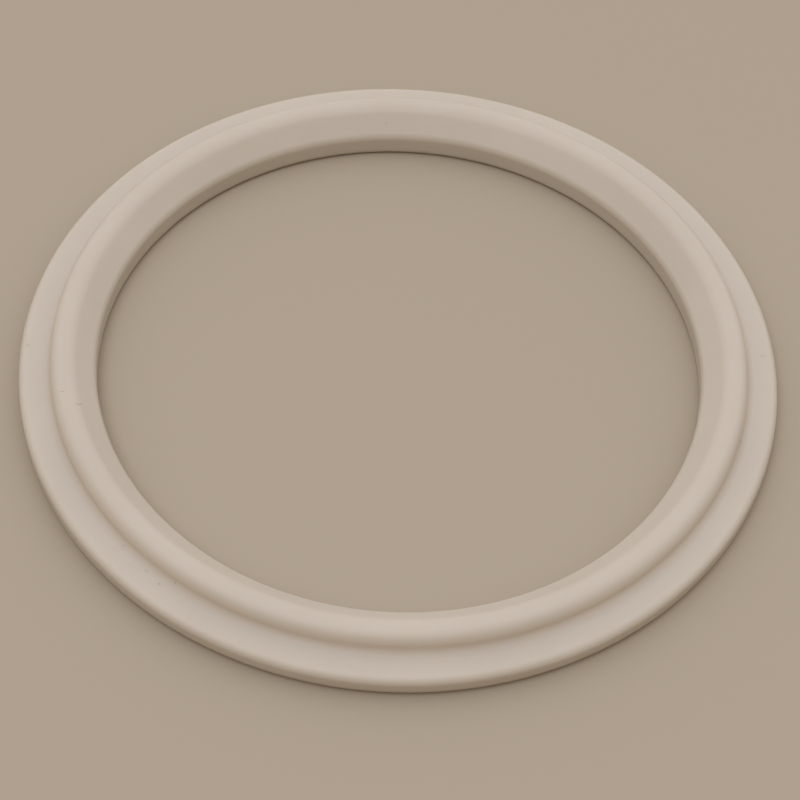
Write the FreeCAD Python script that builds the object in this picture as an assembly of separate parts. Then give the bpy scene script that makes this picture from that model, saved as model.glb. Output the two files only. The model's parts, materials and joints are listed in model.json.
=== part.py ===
"""Sight glass gasket: one ring moulded in white silicone rubber.

A flat flange is clamped between the end of a glass tube and the housing of
an inline sight glass. A hub stands on the flange and centres the tube by its
bore. Inside the hub a funnel leads down to the straight flow bore. Soft
roundings take up most of the section, and leave short straight walls between
them.

Millimetres, +Z up. The origin is the centre of the flat underside.
"""
import FreeCAD
import Part
import math
import os

# Across the ring, from the flow bore outwards.
bore_diameter = 95.6
funnel_width = 3.8
crown_width = 3.4
flange_width = 5.0

# Up the ring, from the underside.
flange_thickness = 4.15
hub_rise = 3.45
funnel_depth = 3.35

# Radii of the moulded edges, in the order in which the section passes them.
bore_foot_rounding = 1.25
rim_foot_rounding = 1.85
rim_rounding = 1.25
hub_root_rounding = 1.15
hub_crown_rounding = 1.85
funnel_mouth_rounding = 2.9
bore_mouth_rounding = 1.75

# The most of a straight wall that the roundings at its two ends may take.
rounded_share_of_wall = 0.95

# A rounding that turns further than this is drawn as several equal arcs.
longest_arc_deg = 50.0

# Worked out from the sizes above.
bore_radius = bore_diameter / 2
funnel_mouth_radius = bore_radius + funnel_width
hub_radius = funnel_mouth_radius + crown_width
rim_radius = hub_radius + flange_width
hub_top = flange_thickness + hub_rise
bore_top = hub_top - funnel_depth

AXIS = FreeCAD.Vector(0, 0, 1)
CENTRE = FreeCAD.Vector(0, 0, 0)
NO_TURN = FreeCAD.Rotation()


def ring_section():
    """The ring's section: each corner is (radius, height, rounding)."""
    return [
        (bore_radius, 0, bore_foot_rounding),
        (rim_radius, 0, rim_foot_rounding),
        (rim_radius, flange_thickness, rim_rounding),
        (hub_radius, flange_thickness, hub_root_rounding),
        (hub_radius, hub_top, hub_crown_rounding),
        (funnel_mouth_radius, hub_top, funnel_mouth_rounding),
        (bore_radius, bore_top, bore_mouth_rounding),
    ]


class Corner:
    """One corner of the section, between its two straight walls."""

    def __init__(self, before, point, after, rounding):
        self.point = point
        self.to_before = (before - point).normalize()
        self.to_after = (after - point).normalize()
        self.half_angle = self.to_before.getAngle(self.to_after) / 2
        self.setback = rounding / math.tan(self.half_angle)

    def arcs(self):
        """The rounding, tangent to both walls, as equal arcs that follow each other."""
        bisector = (self.to_before + self.to_after).normalize()
        centre = self.point + bisector * (self.setback / math.cos(self.half_angle))
        first_spoke = self.point + self.to_before * self.setback - centre
        last_spoke = self.point + self.to_after * self.setback - centre
        whole_turn = FreeCAD.Rotation(first_spoke, last_spoke)
        count = math.ceil(math.degrees(whole_turn.Angle) / longest_arc_deg)
        points = []
        for step in range(2 * count + 1):
            turn = NO_TURN.slerp(whole_turn, step / (2 * count))
            points.append(centre + turn.multVec(first_spoke))
        return [Part.Arc(*points[start:start + 3]) for start in range(0, 2 * count, 2)]


def section_corners(section):
    """The section's corners, their roundings limited by the walls between them."""
    points = [FreeCAD.Vector(radius, 0, height) for radius, height, rounding in section]
    befores = points[-1:] + points[:-1]
    afters = points[1:] + points[:1]
    corners = []
    for before, point, after, (radius, height, rounding) in zip(befores, points, afters, section):
        corners.append(Corner(before, point, after, rounding))
    for corner, following in zip(corners, corners[1:] + corners[:1]):
        wall = (following.point - corner.point).Length
        taken = corner.setback + following.setback
        limit = min(1, rounded_share_of_wall * wall / taken)
        corner.setback *= limit
        following.setback *= limit
    return corners


def section_face(section):
    """The flat face inside the rounded section, in the XZ plane."""
    roundings = [corner.arcs() for corner in section_corners(section)]
    edges = []
    for arcs, following in zip(roundings, roundings[1:] + roundings[:1]):
        edges += [arc.toShape() for arc in arcs]
        edges.append(Part.LineSegment(arcs[-1].EndPoint, following[0].StartPoint).toShape())
    return Part.Face(Part.Wire(edges))


def gasket_ring():
    """The whole gasket: its section turned once round the axis."""
    return section_face(ring_section()).revolve(CENTRE, AXIS, 360)


os.makedirs("parts", exist_ok=True)
ring = gasket_ring()
ring.exportStep("parts/gasket_ring.step")
print("rim diameter", round(2 * rim_radius, 2), "hub diameter", round(2 * hub_radius, 2))
print("height", round(hub_top, 2), "volume mm3", round(ring.Volume, 1), "valid", ring.isValid())
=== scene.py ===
"""Looks of the sight glass gasket: a moulded ring of off-white silicone rubber lying on a table.

Metres, in the part's own frame: +Z up, the origin at the centre of the flat underside.
The section is turned again from the part's sizes, fine enough for a close view, and the
rubber's finish, its few small marks, the table, the light and the camera are added.
"""

import json
import math

import bpy
from mathutils import Matrix, Vector


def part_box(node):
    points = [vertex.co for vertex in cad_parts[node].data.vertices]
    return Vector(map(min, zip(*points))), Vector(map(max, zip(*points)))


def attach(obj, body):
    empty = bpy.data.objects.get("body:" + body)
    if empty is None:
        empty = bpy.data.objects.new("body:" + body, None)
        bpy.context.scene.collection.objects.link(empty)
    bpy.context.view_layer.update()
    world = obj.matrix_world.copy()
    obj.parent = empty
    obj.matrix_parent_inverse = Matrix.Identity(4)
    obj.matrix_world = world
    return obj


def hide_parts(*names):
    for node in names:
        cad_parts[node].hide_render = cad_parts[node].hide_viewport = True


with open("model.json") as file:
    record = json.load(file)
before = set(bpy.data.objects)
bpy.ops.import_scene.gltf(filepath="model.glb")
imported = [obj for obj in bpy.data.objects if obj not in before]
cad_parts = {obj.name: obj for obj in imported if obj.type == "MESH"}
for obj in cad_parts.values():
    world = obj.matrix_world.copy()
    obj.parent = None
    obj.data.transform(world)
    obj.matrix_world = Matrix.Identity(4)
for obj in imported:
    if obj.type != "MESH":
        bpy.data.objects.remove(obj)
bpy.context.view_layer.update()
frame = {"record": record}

MM = 0.001

# The ring's sizes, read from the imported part.
mounts = {mount["name"]: mount for mount in frame["record"]["mounts"]}
ring_low, ring_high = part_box("gasket_ring")
rim_radius = mounts["rim"]["dims"]["r_mm"] * MM
hub_radius = mounts["hub"]["dims"]["r_mm"] * MM
bore_radius = mounts["flow_bore"]["dims"]["r_mm"] * MM
flange_top = mounts["glass_seat"]["pos_m"][2]
underside = ring_low.z
hub_top = ring_high.z

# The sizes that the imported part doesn't name.
CROWN_WIDTH = 3.4 * MM
FUNNEL_DEPTH = 3.35 * MM
BORE_FOOT_ROUNDING = 1.25 * MM
RIM_FOOT_ROUNDING = 1.85 * MM
RIM_ROUNDING = 1.25 * MM
HUB_ROOT_ROUNDING = 1.15 * MM
HUB_CROWN_ROUNDING = 1.85 * MM
FUNNEL_MOUTH_ROUNDING = 2.9 * MM
BORE_MOUTH_ROUNDING = 1.75 * MM

# How finely the section is turned.
TURN_STEPS = 720
ARC_STEP_DEG = 7.5

# A part of the section counts as its upper side where its normal rises more steeply than this.
LEAST_RISE_OF_UPPER_SIDE = 0.01

# The rubber's colours, as seen in plain light, in levels from 0 to 255.
RUBBER_COLOUR = (222, 209, 195)
RUBBER_COLOUR_SPREAD = 2
# The colour of the specks, smears and dots, also used as the painted shade of a small nick.
MARK_AND_NICK_SHADE_COLOUR = (131, 118, 102)

# The light that enters the rubber: its share, how deep it goes, and the part of that depth
# that its red, green and blue reach.
RUBBER_TRANSLUCENCY = 0.54
RUBBER_DEPTH = 2.0 * MM
RUBBER_DEPTH_OF_COLOURS = (1.0, 0.85, 0.7)

# The rubber's surface: pale and dark clouds, patches of more and less sheen, and a fine grain.
RUBBER_REFRACTION = 1.41
RUBBER_SHINIEST = 0.42
RUBBER_DULLEST = 0.58
CLOUD_SIZE = 15 * MM
CLOUD_DETAIL = 4.0
SHEEN_PATCH_SIZE = 9 * MM
SHEEN_PATCH_DETAIL = 3.0
GRAIN_SIZE = 0.35 * MM
GRAIN_DEPTH = 0.02 * MM
GRAIN_STRENGTH = 0.15

# Most of a noise lies between these values.
NOISE_LOW = 0.3
NOISE_HIGH = 0.7

# The small marks on the ring's upper side, as straight strokes: specks, smears and dots, and two strokes of
# painted shade where a small nick runs over the crown edge into the funnel.
# Each has its two ends, as degrees round from +X and radius in millimetres, then half its width in
# millimetres and its strength.
MARKS_AND_NICK_SHADE = {
    "speck_on_crown": ((194.4, 53.5), (194.5, 53.1), 0.14, 0.65),
    "painted_shade_of_nick_on_crown_edge": ((197.25, 51.8), (197.5, 51.1), 0.16, 0.5),
    "painted_shade_of_nick_into_funnel": ((197.55, 51.4), (196.95, 50.5), 0.16, 0.5),
    "smear_above_root": ((224.6, 55.9), (225.1, 55.2), 0.2, 0.3),
    "faint_smear_beside_it": ((225.0, 56.2), (225.3, 55.6), 0.2, 0.18),
    "dot_at_root": ((233.6, 56.4), (233.7, 56.4), 0.28, 0.45),
    "faint_dot_left_of_root": ((230.4, 56.0), (230.8, 56.0), 0.3, 0.2),
    "faint_dot_on_hub": ((235.6, 55.1), (235.7, 55.1), 0.26, 0.35),
    "faint_dot_on_left_flange": ((181.8, 59.0), (181.8, 58.6), 0.28, 0.3),
    "faint_line_on_right_flange": ((5.0, 57.2), (5.0, 58.8), 0.2, 0.22),
    "dot_at_right_root": ((346.5, 55.2), (346.6, 55.2), 0.26, 0.6),
    "faint_dot_on_far_funnel": ((95.5, 49.5), (95.5, 49.7), 0.3, 0.15),
}

# The camera stands where the photograph was taken from.
IMAGE_PIXELS = 800
FOCAL_PIXELS = 2692.5
SENSOR_WIDTH_MM = 36.0
CAMERA_DISTANCE = 0.42948
CAMERA_ELEVATION_DEG = 52.13
CAMERA_ROLL_DEG = 3.49
AIM_RIGHT = 0.197 * MM
AIM_UP = -4.017 * MM
NEAREST_SEEN = 0.01

# The table. Its top lies a hair under the ring, so that the two share no plane.
FLOOR_HALF_WIDTH = 4.0
FLOOR_TOP = -0.01 * MM
FLOOR_COLOUR_SEEN = (195, 178, 158)
FLOOR_COLOUR_THROWN_BACK = (133, 120, 98)
FLOOR_ROUGHNESS = 0.9
FLOOR_GLOSS = 0.2

# The light of the surround, in front of and behind the ring. The colours behind are purest in the brightest
# direction and end at their reach from there. Directions are given as degrees round from +X and degrees up.
LOW_IN_FRONT = (0.3, 0.19, 0.07)
LOW_BEHIND = (0.87, 0.79, 0.69)
HIGH_IN_FRONT = (0.03, 0.03, 0.03)
HIGH_BEHIND = (0.83, 0.865, 0.92)
BRIGHTEST_DIRECTION = (85, 50)
BRIGHT_REACH_DEG = 150

# The sines of the heights over the horizon where the low colours end and the high colours begin.
LOW_ENDS = 0.2
HIGH_BEGINS = 0.9

# The soft box.
SOFT_BOX_DIRECTION = (245, 65)
SOFT_BOX_DISTANCE = 3.0
SOFT_BOX_WIDTH = 1.7
SOFT_BOX_WATTS = 19.5
SOFT_BOX_COLOUR = (0.92, 1.0, 1.07)

# The places of a mix node's colours among its sockets.
MIX_FIRST = 6
MIX_LAST = 7
MIX_RESULT = 2


def ring_corners():
    """The section's corners, each (radius, height, rounding), from the bore's foot outwards."""
    return [
        (bore_radius, underside, BORE_FOOT_ROUNDING),
        (rim_radius, underside, RIM_FOOT_ROUNDING),
        (rim_radius, flange_top, RIM_ROUNDING),
        (hub_radius, flange_top, HUB_ROOT_ROUNDING),
        (hub_radius, hub_top, HUB_CROWN_ROUNDING),
        (hub_radius - CROWN_WIDTH, hub_top, FUNNEL_MOUTH_ROUNDING),
        (bore_radius, hub_top - FUNNEL_DEPTH, BORE_MOUTH_ROUNDING),
    ]


def corner_arc(before, corner, after, rounding):
    """Points and outward normals along the tangent arc that rounds one corner."""
    incoming = (corner - before).normalized()
    outgoing = (after - corner).normalized()
    turn = incoming.angle_signed(outgoing)
    setback = rounding * math.tan(abs(turn) / 2)
    start = corner - incoming * setback
    start_normal = Vector((incoming.y, -incoming.x))
    side = math.copysign(1.0, -turn)
    centre = start - start_normal * rounding * side
    steps = max(1, math.ceil(abs(math.degrees(turn)) / ARC_STEP_DEG))
    arc = []
    for step in range(steps + 1):
        normal = start_normal.copy()
        normal.rotate(Matrix.Rotation(-turn * step / steps, 2))
        arc.append((centre + normal * rounding * side, normal))
    return arc


def ring_section():
    """Points and outward normals round the whole section, in (radius, height)."""
    corners = ring_corners()
    points = [Vector((radius, height)) for radius, height, rounding in corners]
    roundings = [rounding for radius, height, rounding in corners]
    befores = points[-1:] + points[:-1]
    afters = points[1:] + points[:1]
    section = []
    for before, point, after, rounding in zip(befores, points, afters, roundings):
        section += corner_arc(before, point, after, rounding)
    return section


def turned_mesh(name, section):
    """A closed mesh made by turning the section round +Z, shaded by the section's true normals."""
    around = [math.tau * step / TURN_STEPS for step in range(TURN_STEPS)]
    vertices, normals = [], []
    for angle in around:
        across = Vector((math.cos(angle), math.sin(angle), 0.0))
        for point, normal in section:
            vertices.append(across * point.x + Vector((0.0, 0.0, point.y)))
            normals.append(across * normal.x + Vector((0.0, 0.0, normal.y)))
    count = len(section)
    faces = []
    for step in range(TURN_STEPS):
        here, there = step * count, (step + 1) % TURN_STEPS * count
        for number in range(count):
            following = (number + 1) % count
            faces.append((here + number, there + number, there + following, here + following))
    mesh = bpy.data.meshes.new(name)
    mesh.from_pydata(vertices, [], faces)
    mesh.validate()
    mesh.shade_smooth()
    mesh.normals_split_custom_set_from_vertices(normals)
    return mesh


def add_object(name, data):
    """A new object in the scene."""
    made = bpy.data.objects.new(name, data)
    bpy.context.scene.collection.objects.link(made)
    return made


def linear(red, green, blue):
    """A colour given as it is seen, 0 to 255, as the linear values that a shader takes."""
    seen = [channel / 255 for channel in (red, green, blue)]
    return tuple(c / 12.92 if c <= 0.04045 else ((c + 0.055) / 1.055) ** 2.4 for c in seen)


class Nodes:
    """Short ways to add shader nodes to one node tree."""

    def __init__(self, tree, coordinates):
        self.nodes = tree.nodes
        self.links = tree.links
        self.place = self.nodes.new("ShaderNodeTexCoord").outputs[coordinates]

    def noise(self, cell, detail=2.0):
        """Noise with cells of about that size in metres."""
        texture = self.nodes.new("ShaderNodeTexNoise")
        texture.inputs["Scale"].default_value = 1 / cell
        texture.inputs["Detail"].default_value = detail
        self.links.new(self.place, texture.inputs["Vector"])
        return texture.outputs["Fac"]

    def between(self, value, low, high, first, last, smooth=False):
        """The value's stretch from low to high, spread from first to last."""
        made = self.nodes.new("ShaderNodeMapRange")
        made.interpolation_type = "SMOOTHSTEP" if smooth else "LINEAR"
        made.inputs["From Min"].default_value = low
        made.inputs["From Max"].default_value = high
        made.inputs["To Min"].default_value = first
        made.inputs["To Max"].default_value = last
        self.links.new(value, made.inputs["Value"])
        return made.outputs["Result"]

    def blend(self, share, first, last):
        """A colour from first to last; each is a constant colour or a node's output."""
        mix = self.nodes.new("ShaderNodeMix")
        mix.data_type = "RGBA"
        self.links.new(share, mix.inputs["Factor"])
        for socket, colour in ((mix.inputs[MIX_FIRST], first), (mix.inputs[MIX_LAST], last)):
            if isinstance(colour, tuple):
                socket.default_value = (*colour, 1.0)
            else:
                self.links.new(colour, socket)
        return mix.outputs[MIX_RESULT]

    def add(self, values):
        """The sum of several nodes' outputs."""
        total = values[0]
        for value in values[1:]:
            sum_node = self.nodes.new("ShaderNodeMath")
            self.links.new(total, sum_node.inputs[0])
            self.links.new(value, sum_node.inputs[1])
            total = sum_node.outputs["Value"]
        return total

    def length(self, vector):
        """The length of a node's vector."""
        made = self.nodes.new("ShaderNodeVectorMath")
        made.operation = "LENGTH"
        self.links.new(vector, made.inputs[0])
        return made.outputs["Value"]

    def along(self, direction):
        """How far the place lies along a direction."""
        made = self.nodes.new("ShaderNodeVectorMath")
        made.operation = "DOT_PRODUCT"
        made.inputs[1].default_value = direction
        self.links.new(self.place, made.inputs[0])
        return made.outputs["Value"]

    def angle_of_cosine(self, cosine):
        """The angle, in radians, that has a node's value as its cosine."""
        made = self.nodes.new("ShaderNodeMath")
        made.operation = "ARCCOSINE"
        self.links.new(cosine, made.inputs[0])
        return made.outputs["Value"]

    def stroke(self, start, end, half_width, strength):
        """A straight, soft-edged stroke through the surface: its strength inside, and 0 outside."""
        mapping = self.nodes.new("ShaderNodeMapping")
        mapping.vector_type = "TEXTURE"
        mapping.inputs["Location"].default_value = (start + end) / 2
        mapping.inputs["Rotation"].default_value = (end - start).to_track_quat("X", "Z").to_euler()
        half_length = (end - start).length / 2 + half_width
        mapping.inputs["Scale"].default_value = (half_length, half_width, half_width)
        self.links.new(self.place, mapping.inputs["Vector"])
        away = self.length(mapping.outputs["Vector"])
        return self.between(away, 0.0, 1.0, strength, 0.0, smooth=True)


class Material(Nodes):
    """A material with a Principled shader."""

    def __init__(self, name):
        self.made = bpy.data.materials.new(name)
        self.made.use_nodes = True
        super().__init__(self.made.node_tree, "Object")
        self.shader = self.nodes["Principled BSDF"]

    def put(self, name, value):
        """Sets one of the shader's own sockets to a constant."""
        self.shader.inputs[name].default_value = value

    def feed(self, output, name):
        """Links a node's output to one of the shader's sockets."""
        self.links.new(output, self.shader.inputs[name])


def height_at(radius):
    """The height of the ring's upper side at a radius."""
    upper_side = [point for point, normal in ring_section() if normal.y > LEAST_RISE_OF_UPPER_SIDE]
    for outer, inner in zip(upper_side, upper_side[1:]):
        if inner.x <= radius <= outer.x:
            return inner.y + (outer.y - inner.y) * (radius - inner.x) / (outer.x - inner.x)
    raise ValueError("The ring has no upper side at this radius.")


def ring_place(around_deg, radius_mm):
    """A place on the ring's upper side, from degrees round from +X and radius."""
    radius = radius_mm * MM
    around = math.radians(around_deg)
    return Vector((radius * math.cos(around), radius * math.sin(around), height_at(radius)))


def silicone():
    """Off-white moulded silicone rubber: soft, slightly translucent and matt, with a few small marks and
    the painted shade of a small nick.
    """
    rubber = Material("silicone")
    paler = linear(*(level + RUBBER_COLOUR_SPREAD for level in RUBBER_COLOUR))
    darker = linear(*(level - RUBBER_COLOUR_SPREAD for level in RUBBER_COLOUR))
    clouds = rubber.between(rubber.noise(CLOUD_SIZE, CLOUD_DETAIL), NOISE_LOW, NOISE_HIGH, 0.0, 1.0)
    clean = rubber.blend(clouds, darker, paler)
    # Strokes darken the colour: specks, smears and dots, and painted shade along a small nick that the mesh
    # doesn't carry.
    strokes = []
    for start, end, half_width_mm, strength in MARKS_AND_NICK_SHADE.values():
        strokes.append(rubber.stroke(ring_place(*start), ring_place(*end), half_width_mm * MM, strength))
    rubber.feed(rubber.blend(rubber.add(strokes), clean, linear(*MARK_AND_NICK_SHADE_COLOUR)), "Base Color")
    grain = rubber.noise(GRAIN_SIZE)
    both = rubber.add([grain, rubber.noise(SHEEN_PATCH_SIZE, SHEEN_PATCH_DETAIL)])
    roughness = rubber.between(both, 2 * NOISE_LOW, 2 * NOISE_HIGH, RUBBER_SHINIEST, RUBBER_DULLEST)
    rubber.feed(roughness, "Roughness")
    bump = rubber.nodes.new("ShaderNodeBump")
    bump.inputs["Strength"].default_value = GRAIN_STRENGTH
    bump.inputs["Distance"].default_value = GRAIN_DEPTH
    rubber.links.new(grain, bump.inputs["Height"])
    rubber.feed(bump.outputs["Normal"], "Normal")
    rubber.put("IOR", RUBBER_REFRACTION)
    rubber.put("Subsurface Weight", RUBBER_TRANSLUCENCY)
    rubber.put("Subsurface Radius", RUBBER_DEPTH_OF_COLOURS)
    rubber.put("Subsurface Scale", RUBBER_DEPTH)
    return rubber.made


def table_top():
    """The floor: plain, matt and pale, with a darker colour in the light that it throws back."""
    table = Material("table_top")
    path = table.nodes.new("ShaderNodeLightPath")
    seeing_rays = ("Is Camera Ray", "Is Glossy Ray", "Is Transmission Ray")
    seen = table.add([path.outputs[ray] for ray in seeing_rays])
    colour = table.blend(seen, linear(*FLOOR_COLOUR_THROWN_BACK), linear(*FLOOR_COLOUR_SEEN))
    table.feed(colour, "Base Color")
    table.put("Roughness", FLOOR_ROUGHNESS)
    table.put("Specular IOR Level", FLOOR_GLOSS)
    return table.made


def make_ring():
    """The visible ring, which stands for the part's only solid."""
    ring = add_object("moulded_ring", turned_mesh("moulded_ring", ring_section()))
    ring.data.materials.append(silicone())
    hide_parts("gasket_ring")
    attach(ring, "root")


def make_floor():
    """A wide flat floor under the ring."""
    signs = [(-1, -1), (1, -1), (1, 1), (-1, 1)]
    corners = [(x * FLOOR_HALF_WIDTH, y * FLOOR_HALF_WIDTH, FLOOR_TOP) for x, y in signs]
    mesh = bpy.data.meshes.new("floor")
    mesh.from_pydata(corners, [], [range(4)])
    floor = add_object("floor", mesh)
    floor.data.materials.append(table_top())


def toward(around_deg, up_deg):
    """A direction, from degrees round from +X and degrees up."""
    around, up = math.radians(around_deg), math.radians(up_deg)
    return Vector((math.cos(up) * math.cos(around), math.cos(up) * math.sin(around), math.sin(up)))


def make_surround():
    """The light of the room: brightest behind the ring and over it, warm low down and cooler high up."""
    world = bpy.data.worlds.new("surround")
    world.use_nodes = True
    room = Nodes(world.node_tree, "Generated")
    height = room.between(room.along((0.0, 0.0, 1.0)), LOW_ENDS, HIGH_BEGINS, 0.0, 1.0, smooth=True)
    away = room.angle_of_cosine(room.along(toward(*BRIGHTEST_DIRECTION)))
    behind = room.between(away, 0.0, math.radians(BRIGHT_REACH_DEG), 1.0, 0.0, smooth=True)
    low = room.blend(behind, LOW_IN_FRONT, LOW_BEHIND)
    high = room.blend(behind, HIGH_IN_FRONT, HIGH_BEHIND)
    room.links.new(room.blend(height, low, high), room.nodes["Background"].inputs["Color"])
    bpy.context.scene.world = world


def make_soft_box():
    """A round soft box high up, at the front and a little to the left."""
    lamp = bpy.data.lights.new("soft_box", "AREA")
    lamp.shape = "DISK"
    lamp.size = SOFT_BOX_WIDTH
    lamp.energy = SOFT_BOX_WATTS
    lamp.color = SOFT_BOX_COLOUR
    box = add_object("soft_box", lamp)
    box.location = toward(*SOFT_BOX_DIRECTION) * SOFT_BOX_DISTANCE
    box.rotation_euler = (-box.location).to_track_quat("-Z", "Y").to_euler()


def make_camera():
    """The camera at the photograph's place, turned by its small roll."""
    elevation = math.radians(CAMERA_ELEVATION_DEG)
    roll = math.radians(CAMERA_ROLL_DEG)
    forward = Vector((0.0, math.cos(elevation), -math.sin(elevation)))
    level_right = Vector((1.0, 0.0, 0.0))
    level_up = level_right.cross(forward)
    right = math.cos(roll) * level_right + math.sin(roll) * level_up
    up = math.cos(roll) * level_up - math.sin(roll) * level_right
    lens = bpy.data.cameras.new("camera")
    lens.sensor_width = SENSOR_WIDTH_MM
    lens.lens = FOCAL_PIXELS * SENSOR_WIDTH_MM / IMAGE_PIXELS
    lens.clip_start = NEAREST_SEEN
    camera = add_object("camera", lens)
    turn = Matrix((right, up, -forward)).transposed()
    place = right * AIM_RIGHT + up * AIM_UP - forward * CAMERA_DISTANCE
    camera.matrix_world = Matrix.Translation(place) @ turn.to_4x4()
    bpy.context.scene.camera = camera


make_ring()
make_floor()
make_surround()
make_soft_box()
make_camera()
bpy.context.scene.view_settings.view_transform = "Standard"
